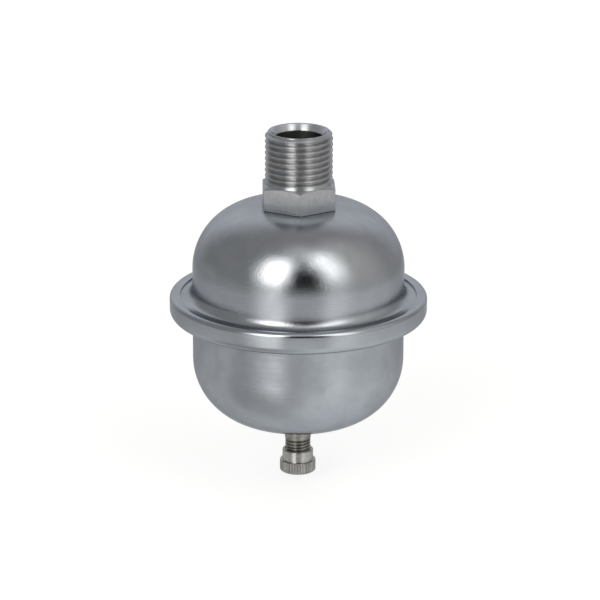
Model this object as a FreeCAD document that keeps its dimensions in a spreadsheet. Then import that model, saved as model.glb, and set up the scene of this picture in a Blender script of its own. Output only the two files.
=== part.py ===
import FreeCAD, Part
import math
import os
import re
import Sketcher

# Water hammer arrestor with a rubber diaphragm: two drawn stainless shells joined by a folded rim,
# a turned inlet fitting on top and an air valve with a screw cap below. Millimetres.
# The origin is on the axis, at the foot of the inlet thread.
# +Z runs up and out of the inlet.

SIZES = [
    # Inlet fitting, one turned piece with a G 1/2 male thread
    ("thread_radius", 10.4775, "outside radius of the G 1/2 thread"),
    ("thread_length", 14.3, "from the foot of the thread to the mouth"),
    ("runout_radius", 10.8, "flare between the thread and the hexagon"),
    ("runout_height", 1.5, "height of that flare"),
    ("tip_chamfer", 0.95, "chamfer on the thread's first turn"),
    ("mouth_radius", 9.15, "countersink at the mouth"),
    ("mouth_depth", 1.7, "depth of the countersink"),
    ("bore_radius", 7.45, "water bore"),
    ("bore_depth", 21.3, "straight part of the bore, from the mouth"),
    ("port_radius", 4.0, "hole in the floor of the bore"),
    ("drill_slope", 0.6, "rise of the drilled floor over its run"),
    ("hex_flats", 22.0, "hexagon across flats"),
    ("hex_height", 7.75, "height of the hexagon"),
    ("corner_margin", 0.2, "how far the chamfer's cut runs past the corners"),
    ("hex_turn", 2.6, "degrees that a corner stands off the front"),
    ("hex_land_radius", 10.8, "flat ring inside the corner chamfers"),
    ("chamfer_slope", 0.577, "drop of the corner chamfer over its run, 30 degrees"),
    ("weld_land", 0.2, "raised ring under the hexagon"),
    ("weld_land_radius", 10.4, "outside of that ring"),
    ("spigot_radius", 8.9, "neck that passes through the upper shell"),
    ("spigot_clearance", 0.1, "between that neck and its hole"),
    ("swage_radius", 10.3, "lip turned out under the shell"),
    ("swage_height", 1.0, "thickness of that lip"),
    # Shells, drawn from one gauge of sheet
    ("sheet", 0.8, "sheet thickness"),
    ("shell_radius", 33.0, "outside of both shells"),
    ("upper_depth", 29.1, "upper shell, from its seat to its flange"),
    ("upper_knuckle", 20.15, "outside radius of the upper dome"),
    ("upper_foot", 2.0, "hollow radius where the wall meets the flange"),
    ("lower_depth", 35.75, "lower shell, from the rim down to the valve seat"),
    ("lower_knuckle", 20.7, "outside radius of the lower knuckle"),
    ("lower_dish", 22.7, "height of the lower dome"),
    ("lower_foot", 1.2, "hollow radius under the rim"),
    ("valve_seat_radius", 7.4, "flat pressed in the lower crown"),
    # Folded rim
    ("rim_reach", 7.15, "how far the rim stands out from the shells"),
    ("rim_height", 7.2, "height of the rim"),
    ("fold_radius", 1.5, "outside radius of the upper fold"),
    ("lower_fold_radius", 2.5, "outside radius of the lower fold"),
    ("lip_reach", 3.8, "from the upper shell to the edge of the folded lip"),
    ("lip_round", 0.3, "rounding of that edge"),
    ("flange_clearance", 0.1, "between the upper flange and the fold"),
    # Diaphragm
    ("rubber", 1.2, "thickness of the diaphragm"),
    ("rubber_gap", 0.3, "around the diaphragm"),
    ("bead_round", 1.5, "outer corners of the clamped bead"),
    ("diaphragm_knuckle", 17.0, "shoulder of the diaphragm"),
    ("diaphragm_drop", 0.6, "from the turned lip down to the diaphragm's crown"),
    # Air valve stem
    ("stem_radius", 4.1, "neck and collar of the stem"),
    ("stem_clearance", 0.1, "between the neck and its hole"),
    ("stem_thread_radius", 4.0, "outside radius of the cap's thread"),
    ("stem_collar", 5.0, "plain collar under the shell"),
    ("stem_reach", 14.1, "from the shell to the stem's mouth"),
    ("stem_tip", 0.4, "chamfer at the stem's mouth"),
    ("stem_head_radius", 6.6, "head inside the shell"),
    ("stem_head_height", 2.0, "thickness of that head"),
    ("stem_gasket_height", 1.0, "washer under that head"),
    ("core_bore_radius", 2.65, "threaded bore for the valve core"),
    ("core_bore_depth", 6.6, "depth of that thread"),
    ("seat_wide_radius", 2.35, "wide end of the tapered seat"),
    ("seat_narrow_radius", 1.95, "narrow end, and the bore behind it"),
    ("seat_length", 2.0, "length of the tapered seat"),
    ("mouth_flare", 0.35, "countersink at the stem's mouth"),
    # Valve core, measured inwards from the stem's mouth
    ("core_clearance", 0.05, "around the pieces of the core"),
    ("swivel_start", 1.2, "outer end of the swivel"),
    ("swivel_length", 5.0, "length of the swivel"),
    ("swivel_hole_radius", 1.45, "hole of the swivel"),
    ("swivel_flats", 3.4, "across the two flats for the key"),
    ("swivel_flat_length", 1.4, "length of those flats"),
    ("barrel_start", 3.2, "outer end of the barrel"),
    ("barrel_shoulder", 0.75, "shoulder that the swivel presses on"),
    ("barrel_shoulder_radius", 2.2, "radius of that shoulder"),
    ("barrel_radius", 1.7, "inner part of the barrel"),
    ("barrel_length", 9.8, "whole length of the barrel"),
    ("barrel_bore_radius", 1.15, "chamber for the spring"),
    ("barrel_floor", 0.8, "floor at the inner end"),
    ("barrel_hole_radius", 0.75, "hole in that floor"),
    ("gasket_length", 1.4, "cone that seals the barrel"),
    ("pin_radius", 0.5, "valve pin"),
    ("pin_recess", 0.5, "from the stem's mouth to the pin's tip"),
    ("pin_button_radius", 0.7, "button at the tip"),
    ("pin_button_length", 0.8, "length of that button"),
    ("pin_collar_start", 7.6, "collar that the spring lifts"),
    ("pin_collar_length", 0.6, "thickness of that collar"),
    ("pin_collar_radius", 1.0, "radius of that collar"),
    ("rivet_radius", 0.8, "riveted inner end of the pin"),
    ("rivet_length", 0.25, "thickness of the rivet"),
    ("spring_wire_radius", 0.11, "spring wire"),
    ("spring_mean_radius", 0.88, "middle of the coil"),
    ("spring_turns", 6.0, "turns of the coil"),
    ("core_seal_radius", 1.45, "rubber ring in the cup"),
    ("core_seal_height", 0.8, "thickness of that ring"),
    ("cup_wall", 0.2, "wall of the cup"),
    ("cup_lap", 0.2, "how far the ring stands out of the cup"),
    ("cup_floor", 1.0, "floor of the cup"),
    # Valve cap
    ("cap_clearance", 0.08, "between the cap and the stem's thread"),
    ("cap_radius", 4.85, "plain part of the cap"),
    ("cap_length", 7.25, "whole length of the cap"),
    ("cap_flange_radius", 5.65, "knurled part of the cap"),
    ("cap_flange_length", 3.65, "length of the knurled part"),
    ("cap_floor", 1.3, "floor of the cap"),
    ("cap_edge", 0.35, "chamfers of the cap"),
    ("cap_seat_gap", 0.05, "between the stem's mouth and the cap's seal"),
    ("cap_seal_height", 0.7, "rubber disc in the cap"),
    ("cap_seal_radius", 3.9, "radius of that disc"),
    ("knurl_count", 36, "ridges of the knurl"),
    ("knurl_depth", 0.22, "depth of the grooves"),
    ("knurl_width", 0.62, "width of a groove at the surface"),
]

# Places that follow from the sizes
PLACES = {
    "hex_corner": "hex_flats / sqrt(3)",
    "cut_radius": "hex_corner + corner_margin",
    "hex_top_z": "-runout_height",
    "hex_bottom_z": "hex_top_z - hex_height",
    "seat_z": "hex_bottom_z - weld_land",
    "flange_z": "seat_z - upper_depth",
    "rim_top_z": "flange_z + sheet",
    "rim_bottom_z": "rim_top_z - rim_height",
    "crown_z": "rim_bottom_z - lower_depth",
    "mouth_z": "crown_z - stem_reach",
    "port_drop": "(bore_radius - port_radius) * drill_slope",
    "hole_radius": "spigot_radius + spigot_clearance",
    "inner_radius": "shell_radius - sheet",
    "rim_radius": "shell_radius + rim_reach",
    "lip_radius": "shell_radius + lip_reach",
    "upper_foot_radius": "shell_radius + upper_foot",
    "lower_foot_radius": "shell_radius + lower_foot",
    "flange_radius": "rim_radius - fold_radius - flange_clearance",
    "fold_start": "rim_radius - fold_radius",
    "fold_inner": "fold_radius - sheet",
    "lower_fold_start": "rim_radius - lower_fold_radius",
    "lower_fold_inner": "lower_fold_radius - sheet",
    "stem_hole_radius": "stem_radius + stem_clearance",
    "crown_radius": "(lower_dish^2 + shell_radius^2 - 2 * shell_radius * lower_knuckle)"
                    " / (2 * (lower_dish - lower_knuckle))",
    "crown_height": "sqrt(crown_radius^2 - valve_seat_radius^2)",
    "join_sine": "(shell_radius - lower_knuckle) / (crown_radius - lower_knuckle)",
    "join_cosine": "sqrt(1 - join_sine^2)",
    "knuckle_z": "-lower_depth + crown_height - (crown_radius - lower_knuckle) * join_cosine",
    "inner_crown": "crown_radius - sheet",
    "inner_seat_radius": "sqrt(inner_crown^2 - (crown_height - sheet)^2)",
    "bead_half": "rim_height / 2 - sheet - rubber_gap",
    "bead_top": "bead_half - sheet",
    "bead_radius": "rim_radius - sheet - rubber_gap",
    "rubber_radius": "inner_radius - rubber_gap",
    "rim_middle_z": "rim_bottom_z + rim_height / 2",
    "foot_z": "flange_z + upper_foot - rim_middle_z",
    "rubber_crown_z": "seat_z - sheet - swage_height - diaphragm_drop - rim_middle_z",
    "rubber_shoulder_z": "rubber_crown_z - diaphragm_knuckle",
    "rubber_flat_radius": "rubber_radius - diaphragm_knuckle",
    "stem_end": "stem_reach + sheet + stem_gasket_height + stem_head_height",
    "head_start": "stem_end - stem_head_height",
    "seat_end": "core_bore_depth + seat_length",
    "seat_slope": "(seat_wide_radius - seat_narrow_radius) / seat_length",
    "swivel_end": "swivel_start + swivel_length",
    "shoulder_start": "swivel_end + core_clearance",
    "shoulder_end": "shoulder_start + barrel_shoulder",
    "gasket_end": "shoulder_end + gasket_length",
    "barrel_end": "barrel_start + barrel_length",
    "barrel_neck_radius": "swivel_hole_radius - core_clearance",
    "spring_start": "pin_collar_start + pin_collar_length",
    "spring_end": "barrel_end - barrel_floor",
    "seal_end": "barrel_end + core_seal_height",
    "cup_start": "barrel_end + cup_lap",
    "cup_end": "seal_end + cup_floor",
    "cup_radius": "core_seal_radius + cup_wall",
    "pin_hole_radius": "pin_radius + core_clearance",
    "cap_floor_z": "-cap_seat_gap - cap_seal_height",
    "cap_bottom_z": "cap_floor_z - cap_floor",
    "cap_top_z": "cap_bottom_z + cap_length",
    "cap_flange_z": "cap_bottom_z + cap_flange_length",
    "cap_bore_radius": "stem_thread_radius + cap_clearance",
}

LEFT = 1
RIGHT = -1

doc = FreeCAD.newDocument("WaterHammerArrestor")
sizes = doc.addObject("Spreadsheet::Sheet", "Sizes")
for row, (alias, number, note) in enumerate(SIZES, start=1):
    sizes.set("A%d" % row, alias)
    sizes.set("B%d" % row, str(number))
    sizes.set("C%d" % row, note)
    sizes.setAlias("B%d" % row, alias)
doc.recompute()
CELLS = {alias for alias, number, note in SIZES}


def formula(text):
    """Writes a formula of named sizes and places as one of the sheet's cells."""
    def swap(match):
        word = match.group(0)
        if word in PLACES:
            return "(" + formula(PLACES[word]) + ")"
        if word in CELLS:
            return "Sizes." + word
        return word
    return re.sub(r"[a-z_][a-z_0-9]*", swap, text)


def value(text):
    """The present value of such a formula."""
    return float(sizes.evalExpression(formula(text)))


def new_body(label, height="0"):
    """A body whose own origin stands on the axis at the given height."""
    body = doc.addObject("PartDesign::Body", label)
    body.Label = label
    body.setExpression("Placement.Base.z", formula(height))
    return body


def plane(body, role):
    for feature in body.Origin.OriginFeatures:
        if feature.Role == role:
            return feature
    raise RuntimeError(body.Label + " has no plane " + role)


def new_sketch(body, name, role="XZ_Plane"):
    sketch = body.newObject("Sketcher::SketchObject", name)
    sketch.AttachmentSupport = [(plane(body, role), "")]
    sketch.MapMode = "FlatFace"
    return sketch


def arc_between(start, end, radius, side):
    """The short arc from start to end, its centre on the given side of the way."""
    chord = end - start
    middle = (start + end) * 0.5
    reach = math.sqrt(max(radius ** 2 - (chord.Length / 2) ** 2, 0.0))
    across = FreeCAD.Vector(-chord.y, chord.x, 0).normalize() * side
    centre = middle + across * reach
    first = math.atan2(start.y - centre.y, start.x - centre.x)
    last = math.atan2(end.y - centre.y, end.x - centre.x)
    circle = Part.Circle(centre, FreeCAD.Vector(0, 0, 1), radius)
    if side == LEFT:
        return Part.ArcOfCircle(circle, first, last), 1, 2
    return Part.ArcOfCircle(circle, last, first), 2, 1


def outline(sketch, steps):
    """Draws a closed outline. Each step is a corner (x, y), and a third and fourth entry
    say that the way on from that corner is an arc: its radius and its centre's side."""
    corners = [FreeCAD.Vector(value(step[0]), value(step[1]), 0) for step in steps]
    ends = []
    for index, step in enumerate(steps):
        here = corners[index]
        there = corners[(index + 1) % len(steps)]
        if len(step) == 4:
            shape, first, last = arc_between(here, there, value(step[2]), step[3])
        else:
            shape, first, last = Part.LineSegment(here, there), 1, 2
        ends.append((sketch.addGeometry(shape, False), first, last))
    for index, step in enumerate(steps):
        edge, first, last = ends[index]
        before, unused, tail = ends[index - 1]
        sketch.addConstraint(Sketcher.Constraint("Coincident", before, tail, edge, first))
        for kind, text, axis in (("DistanceX", step[0], -2), ("DistanceY", step[1], -1)):
            if text == "0":
                sketch.addConstraint(Sketcher.Constraint("PointOnObject", edge, first, axis))
            else:
                tie = Sketcher.Constraint(kind, -1, 1, edge, first, value(text))
                number = sketch.addConstraint(tie)
                sketch.setExpression("Constraints[%d]" % number, formula(text))
        if len(step) == 4:
            number = sketch.addConstraint(Sketcher.Constraint("Radius", edge, value(step[2])))
            sketch.setExpression("Constraints[%d]" % number, formula(step[2]))


def turn(body, name, steps, cut=False):
    """Turns an outline of (radius, height) about the axis, to add or to cut metal."""
    sketch = new_sketch(body, name + "_outline")
    outline(sketch, steps)
    doc.recompute()
    before = body.Shape.Volume if cut else 0.0
    kind = "PartDesign::Groove" if cut else "PartDesign::Revolution"
    feature = body.newObject(kind, name)
    feature.Profile = (sketch, [""])
    feature.ReferenceAxis = (sketch, ["V_Axis"])
    feature.Angle = 360
    doc.recompute()
    if cut and not body.Shape.Volume < before - 1e-6:
        raise RuntimeError(name + " cuts nothing")
    return feature


def make_inlet_fitting():
    """Turned from hexagon bar: thread and countersunk mouth above, spigot turned out below."""
    body = new_body("inlet_fitting")
    sketch = new_sketch(body, "hexagon", "XY_Plane")
    sketch.setExpression("AttachmentOffset.Base.z", formula("hex_top_z"))
    centre = FreeCAD.Vector(0, 0, 0)
    reach = value("hex_corner")
    start = math.radians(value("hex_turn") - 90)
    corners = []
    for number in range(6):
        angle = start + number * math.pi / 3
        corners.append(FreeCAD.Vector(reach * math.cos(angle), reach * math.sin(angle), 0))
    for number in range(6):
        sketch.addGeometry(Part.LineSegment(corners[number], corners[(number + 1) % 6]), False)
    circle = sketch.addGeometry(Part.Circle(centre, FreeCAD.Vector(0, 0, 1), reach), True)
    sketch.addConstraint(Sketcher.Constraint("Coincident", circle, 3, -1, 1))
    for number in range(6):
        after = (number + 1) % 6
        sketch.addConstraint(Sketcher.Constraint("Coincident", number, 2, after, 1))
        sketch.addConstraint(Sketcher.Constraint("PointOnObject", number, 1, circle))
    for number in range(5):
        sketch.addConstraint(Sketcher.Constraint("Equal", number, number + 1))
    across = sketch.addConstraint(Sketcher.Constraint("Radius", circle, reach))
    sketch.setExpression("Constraints[%d]" % across, formula("hex_corner"))
    ray = sketch.addGeometry(Part.LineSegment(centre, corners[0]), True)
    sketch.addConstraint(Sketcher.Constraint("Coincident", ray, 1, -1, 1))
    sketch.addConstraint(Sketcher.Constraint("Coincident", ray, 2, 0, 1))
    angle = Sketcher.Constraint("Angle", -1, 1, ray, 1, start)
    facing = sketch.addConstraint(angle)
    sketch.setExpression("Constraints[%d]" % facing, formula("(hex_turn - 90) * 1 deg"))
    pad = body.newObject("PartDesign::Pad", "hexagon_bar")
    pad.Profile = (sketch, [""])
    pad.setExpression("Length", formula("hex_height"))
    pad.Reversed = True
    doc.recompute()
    turn(body, "corner_chamfer", [
        ("hex_land_radius", "hex_top_z"),
        ("cut_radius", "hex_top_z - (cut_radius - hex_land_radius) * chamfer_slope"),
        ("cut_radius", "hex_top_z"),
    ], cut=True)
    turn(body, "thread_blank", [
        ("0", "hex_top_z"),
        ("runout_radius", "hex_top_z"),
        ("thread_radius", "0"),
        ("thread_radius", "thread_length - tip_chamfer"),
        ("thread_radius - tip_chamfer", "thread_length"),
        ("0", "thread_length"),
    ])
    turn(body, "spigot", [
        ("0", "hex_bottom_z"),
        ("weld_land_radius", "hex_bottom_z"),
        ("weld_land_radius", "seat_z"),
        ("spigot_radius", "seat_z"),
        ("spigot_radius", "seat_z - sheet"),
        ("swage_radius", "seat_z - sheet"),
        ("swage_radius", "seat_z - sheet - swage_height / 2"),
        ("swage_radius - swage_height / 2", "seat_z - sheet - swage_height"),
        ("0", "seat_z - sheet - swage_height"),
    ])
    turn(body, "water_bore", [
        ("0", "thread_length"),
        ("mouth_radius", "thread_length"),
        ("bore_radius", "thread_length - mouth_depth"),
        ("bore_radius", "thread_length - bore_depth"),
        ("port_radius", "thread_length - bore_depth - port_drop"),
        ("port_radius", "seat_z - sheet - swage_height"),
        ("0", "seat_z - sheet - swage_height"),
    ], cut=True)
    return body


def make_upper_shell():
    """Drawn dome with a flat crown for the fitting and a flange that the rim holds."""
    body = new_body("upper_shell", "seat_z")
    turn(body, "drawn_dome", [
        ("hole_radius", "0"),
        ("shell_radius - upper_knuckle", "0", "upper_knuckle", RIGHT),
        ("shell_radius", "-upper_knuckle"),
        ("shell_radius", "-upper_depth + upper_foot", "upper_foot", LEFT),
        ("upper_foot_radius", "-upper_depth"),
        ("flange_radius", "-upper_depth"),
        ("flange_radius", "-upper_depth - sheet"),
        ("upper_foot_radius", "-upper_depth - sheet", "upper_foot + sheet", RIGHT),
        ("inner_radius", "-upper_depth + upper_foot"),
        ("inner_radius", "-upper_knuckle", "upper_knuckle - sheet", LEFT),
        ("shell_radius - upper_knuckle", "-sheet"),
        ("hole_radius", "-sheet"),
    ])
    return body


def make_lower_shell():
    """Drawn dome whose flange is folded up and over the flange of the upper shell."""
    body = new_body("lower_shell", "rim_bottom_z")
    turn(body, "drawn_and_folded", [
        ("stem_hole_radius", "-lower_depth"),
        ("valve_seat_radius", "-lower_depth", "crown_radius", LEFT),
        ("crown_radius * join_sine", "-lower_depth + crown_height - crown_radius * join_cosine",
         "lower_knuckle", LEFT),
        ("shell_radius", "knuckle_z"),
        ("shell_radius", "-lower_foot", "lower_foot", RIGHT),
        ("lower_foot_radius", "0"),
        ("lower_fold_start", "0", "lower_fold_radius", LEFT),
        ("rim_radius", "lower_fold_radius"),
        ("rim_radius", "rim_height - fold_radius", "fold_radius", LEFT),
        ("fold_start", "rim_height"),
        ("lip_radius + lip_round", "rim_height", "lip_round", LEFT),
        ("lip_radius", "rim_height - lip_round"),
        ("lip_radius", "rim_height - sheet"),
        ("fold_start", "rim_height - sheet", "fold_inner", RIGHT),
        ("rim_radius - sheet", "rim_height - fold_radius"),
        ("rim_radius - sheet", "lower_fold_radius", "lower_fold_inner", RIGHT),
        ("lower_fold_start", "sheet"),
        ("lower_foot_radius", "sheet", "lower_foot + sheet", LEFT),
        ("inner_radius", "-lower_foot"),
        ("inner_radius", "knuckle_z", "lower_knuckle - sheet", RIGHT),
        ("inner_crown * join_sine", "-lower_depth + crown_height - inner_crown * join_cosine",
         "inner_crown", RIGHT),
        ("inner_seat_radius", "-lower_depth + sheet"),
        ("stem_hole_radius", "-lower_depth + sheet"),
    ])
    return body


def make_diaphragm():
    """Moulded dome with a bead at its rim, as the air presses it up under the upper shell."""
    body = new_body("diaphragm", "rim_middle_z")
    turn(body, "moulded_dome", [
        ("0", "rubber_crown_z"),
        ("rubber_flat_radius", "rubber_crown_z", "diaphragm_knuckle", RIGHT),
        ("rubber_radius", "rubber_shoulder_z"),
        ("rubber_radius", "foot_z", "upper_foot + sheet + rubber_gap", LEFT),
        ("upper_foot_radius", "bead_top"),
        ("bead_radius - bead_round", "bead_top", "bead_round", RIGHT),
        ("bead_radius", "bead_top - bead_round"),
        ("bead_radius", "bead_round - bead_half", "bead_round", RIGHT),
        ("bead_radius - bead_round", "-bead_half"),
        ("upper_foot_radius", "-bead_half"),
        ("upper_foot_radius", "bead_top - rubber", "upper_foot + sheet + rubber_gap + rubber", RIGHT),
        ("rubber_radius - rubber", "foot_z"),
        ("rubber_radius - rubber", "rubber_shoulder_z", "diaphragm_knuckle - rubber", LEFT),
        ("rubber_flat_radius", "rubber_crown_z - rubber"),
        ("0", "rubber_crown_z - rubber"),
    ])
    return body


def make_valve_stem():
    """Brass stem set through the lower shell: a head inside, a collar and a thread outside."""
    body = new_body("valve_stem", "mouth_z")
    turn(body, "stem_blank", [
        ("0", "0"),
        ("stem_thread_radius - stem_tip", "0"),
        ("stem_thread_radius", "stem_tip"),
        ("stem_thread_radius", "stem_reach - stem_collar"),
        ("stem_radius", "stem_reach - stem_collar"),
        ("stem_radius", "head_start"),
        ("stem_head_radius", "head_start"),
        ("stem_head_radius", "stem_end"),
        ("0", "stem_end"),
    ])
    turn(body, "core_bore", [
        ("0", "0"),
        ("core_bore_radius + mouth_flare", "0"),
        ("core_bore_radius", "mouth_flare"),
        ("core_bore_radius", "core_bore_depth"),
        ("seat_wide_radius", "core_bore_depth"),
        ("seat_narrow_radius", "seat_end"),
        ("seat_narrow_radius", "stem_end"),
        ("0", "stem_end"),
    ], cut=True)
    return body


def make_stem_gasket():
    """Rubber washer between the stem's head and the shell."""
    body = new_body("stem_gasket", "crown_z + sheet")
    turn(body, "washer", [
        ("stem_hole_radius", "0"),
        ("stem_head_radius", "0"),
        ("stem_head_radius", "stem_gasket_height"),
        ("stem_hole_radius", "stem_gasket_height"),
    ])
    return body


def make_core_swivel():
    """Threaded head of the core, with two flats for the key."""
    body = new_body("core_swivel", "mouth_z")
    turn(body, "swivel_blank", [
        ("swivel_hole_radius", "swivel_start"),
        ("core_bore_radius - core_clearance", "swivel_start"),
        ("core_bore_radius - core_clearance", "swivel_end"),
        ("swivel_hole_radius", "swivel_end"),
    ])
    sketch = new_sketch(body, "key_flats", "XY_Plane")
    sketch.setExpression("AttachmentOffset.Base.z", formula("swivel_start"))
    for side in ("", "-"):
        outline(sketch, [
            (side + "swivel_flats / 2", "-core_bore_radius"),
            (side + "core_bore_radius", "-core_bore_radius"),
            (side + "core_bore_radius", "core_bore_radius"),
            (side + "swivel_flats / 2", "core_bore_radius"),
        ])
    doc.recompute()
    before = body.Shape.Volume
    pocket = body.newObject("PartDesign::Pocket", "two_flats")
    pocket.Profile = (sketch, [""])
    pocket.setExpression("Length", formula("swivel_flat_length"))
    pocket.Reversed = True
    doc.recompute()
    if not body.Shape.Volume < before - 1e-6:
        raise RuntimeError("the key flats cut nothing")
    return body


def make_core_body():
    """Barrel of the core: neck in the swivel, shoulder, and the spring's chamber."""
    body = new_body("core_body", "mouth_z")
    turn(body, "barrel", [
        ("barrel_bore_radius", "barrel_start"),
        ("barrel_neck_radius", "barrel_start"),
        ("barrel_neck_radius", "shoulder_start"),
        ("barrel_shoulder_radius", "shoulder_start"),
        ("barrel_shoulder_radius", "shoulder_end"),
        ("barrel_neck_radius", "shoulder_end"),
        ("barrel_neck_radius", "gasket_end"),
        ("barrel_radius", "gasket_end"),
        ("barrel_radius", "barrel_end"),
        ("barrel_hole_radius", "barrel_end"),
        ("barrel_hole_radius", "spring_end"),
        ("barrel_bore_radius", "spring_end"),
    ])
    return body


def make_core_gasket():
    """Soft cone that the shoulder presses into the tapered seat."""
    body = new_body("core_gasket", "mouth_z")
    slack = "seat_wide_radius - core_clearance / 2"
    turn(body, "cone", [
        ("barrel_neck_radius", "shoulder_end"),
        (slack + " - (shoulder_end - core_bore_depth) * seat_slope", "shoulder_end"),
        (slack + " - (gasket_end - core_bore_depth) * seat_slope", "gasket_end"),
        ("barrel_neck_radius", "gasket_end"),
    ])
    return body


def make_core_pin():
    """Pin with a button at its tip, a collar over the spring and a riveted end."""
    body = new_body("core_pin", "mouth_z")
    turn(body, "pin", [
        ("0", "pin_recess"),
        ("pin_button_radius", "pin_recess"),
        ("pin_button_radius", "pin_recess + pin_button_length"),
        ("pin_radius", "pin_recess + pin_button_length"),
        ("pin_radius", "pin_collar_start"),
        ("pin_collar_radius", "pin_collar_start"),
        ("pin_collar_radius", "spring_start"),
        ("pin_radius", "spring_start"),
        ("pin_radius", "cup_end"),
        ("rivet_radius", "cup_end"),
        ("rivet_radius", "cup_end + rivet_length"),
        ("0", "cup_end + rivet_length"),
    ])
    return body


def make_core_cup():
    """Cup riveted to the pin, which carries the seal."""
    body = new_body("core_cup", "mouth_z")
    turn(body, "cup", [
        ("core_seal_radius", "cup_start"),
        ("cup_radius", "cup_start"),
        ("cup_radius", "cup_end"),
        ("pin_hole_radius", "cup_end"),
        ("pin_hole_radius", "seal_end"),
        ("core_seal_radius", "seal_end"),
    ])
    return body


def make_core_seal():
    """Rubber ring that closes the barrel's inner end."""
    body = new_body("core_seal", "mouth_z")
    turn(body, "ring", [
        ("pin_hole_radius", "barrel_end"),
        ("core_seal_radius - core_clearance", "barrel_end"),
        ("core_seal_radius - core_clearance", "seal_end"),
        ("pin_hole_radius", "seal_end"),
    ])
    return body


def make_core_spring():
    """Coil spring in the barrel, between its floor and the pin's collar."""
    body = new_body("core_spring", "mouth_z")
    sketch = new_sketch(body, "wire")
    middle = FreeCAD.Vector(value("spring_mean_radius"), value("spring_start + spring_wire_radius"), 0)
    wire = Part.Circle(middle, FreeCAD.Vector(0, 0, 1), value("spring_wire_radius"))
    circle = sketch.addGeometry(wire, False)
    ties = [
        (Sketcher.Constraint("DistanceX", -1, 1, circle, 3, middle.x), "spring_mean_radius"),
        (Sketcher.Constraint("DistanceY", -1, 1, circle, 3, middle.y),
         "spring_start + spring_wire_radius"),
        (Sketcher.Constraint("Radius", circle, value("spring_wire_radius")), "spring_wire_radius"),
    ]
    for tie, text in ties:
        number = sketch.addConstraint(tie)
        sketch.setExpression("Constraints[%d]" % number, formula(text))
    doc.recompute()
    coil = body.newObject("PartDesign::AdditiveHelix", "coil")
    coil.Profile = (sketch, [""])
    coil.ReferenceAxis = (sketch, ["V_Axis"])
    coil.Mode = "height-turns-angle"
    coil.setExpression("Height", formula("spring_end - spring_start - 2 * spring_wire_radius"))
    coil.setExpression("Turns", formula("spring_turns"))
    doc.recompute()
    return body


def make_valve_cap():
    """Turned cap: plain at the open end, straight knurl at the closed end."""
    body = new_body("valve_cap", "mouth_z")
    turn(body, "cap_blank", [
        ("0", "cap_bottom_z"),
        ("cap_flange_radius - cap_edge", "cap_bottom_z"),
        ("cap_flange_radius", "cap_bottom_z + cap_edge"),
        ("cap_flange_radius", "cap_flange_z - cap_edge / 2"),
        ("cap_flange_radius - cap_edge / 2", "cap_flange_z"),
        ("cap_radius", "cap_flange_z"),
        ("cap_radius", "cap_top_z - cap_edge"),
        ("cap_radius - cap_edge", "cap_top_z"),
        ("cap_bore_radius", "cap_top_z"),
        ("cap_bore_radius", "cap_floor_z"),
        ("0", "cap_floor_z"),
    ])
    sketch = new_sketch(body, "knurl_groove", "XY_Plane")
    sketch.setExpression("AttachmentOffset.Base.z", formula("cap_bottom_z"))
    outline(sketch, [
        ("0", "knurl_depth - cap_flange_radius"),
        ("-knurl_width / 2", "-cap_flange_radius"),
        ("-knurl_width / 2", "-cap_flange_radius - knurl_depth"),
        ("knurl_width / 2", "-cap_flange_radius - knurl_depth"),
        ("knurl_width / 2", "-cap_flange_radius"),
    ])
    doc.recompute()
    before = body.Shape.Volume
    groove = body.newObject("PartDesign::Pocket", "one_groove")
    groove.Profile = (sketch, [""])
    groove.setExpression("Length", formula("cap_flange_length"))
    groove.Reversed = True
    doc.recompute()
    if not body.Shape.Volume < before - 1e-6:
        raise RuntimeError("the knurl cuts nothing")
    knurl = body.newObject("PartDesign::PolarPattern", "knurl")
    knurl.Originals = [groove]
    knurl.Axis = (plane(body, "Z_Axis"), [""])
    knurl.Angle = 360
    knurl.setExpression("Occurrences", formula("knurl_count"))
    body.Tip = knurl
    doc.recompute()
    return body


def make_cap_seal():
    """Rubber disc on the floor of the cap."""
    body = new_body("cap_seal", "mouth_z")
    turn(body, "disc", [
        ("0", "cap_floor_z"),
        ("cap_seal_radius", "cap_floor_z"),
        ("cap_seal_radius", "-cap_seat_gap"),
        ("0", "-cap_seat_gap"),
    ])
    return body


pieces = [
    make_inlet_fitting(),
    make_upper_shell(),
    make_lower_shell(),
    make_diaphragm(),
    make_valve_stem(),
    make_stem_gasket(),
    make_core_swivel(),
    make_core_body(),
    make_core_gasket(),
    make_core_pin(),
    make_core_cup(),
    make_core_seal(),
    make_core_spring(),
    make_valve_cap(),
    make_cap_seal(),
]
doc.recompute()

for thing in doc.Objects:
    if "Invalid" in thing.State or "Error" in thing.State:
        raise RuntimeError("%s did not build: %s" % (thing.Label, thing.State))
for piece in pieces:
    shape = piece.Shape
    if shape.isNull() or not shape.isValid() or len(shape.Solids) != 1:
        raise RuntimeError(piece.Label + " is not one valid solid")

os.makedirs("parts", exist_ok=True)
for piece in pieces:
    piece.Shape.exportStep(os.path.join("parts", piece.Label + ".step"))
    box = piece.Shape.BoundBox
    print("%-14s %9.2f mm3   z %8.2f to %8.2f   r %6.2f" % (
        piece.Label, piece.Shape.Volume, box.ZMin, box.ZMax, box.XMax))
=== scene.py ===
import math

import bmesh
import bpy
import numpy as np
from mathutils import Matrix, Vector


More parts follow.
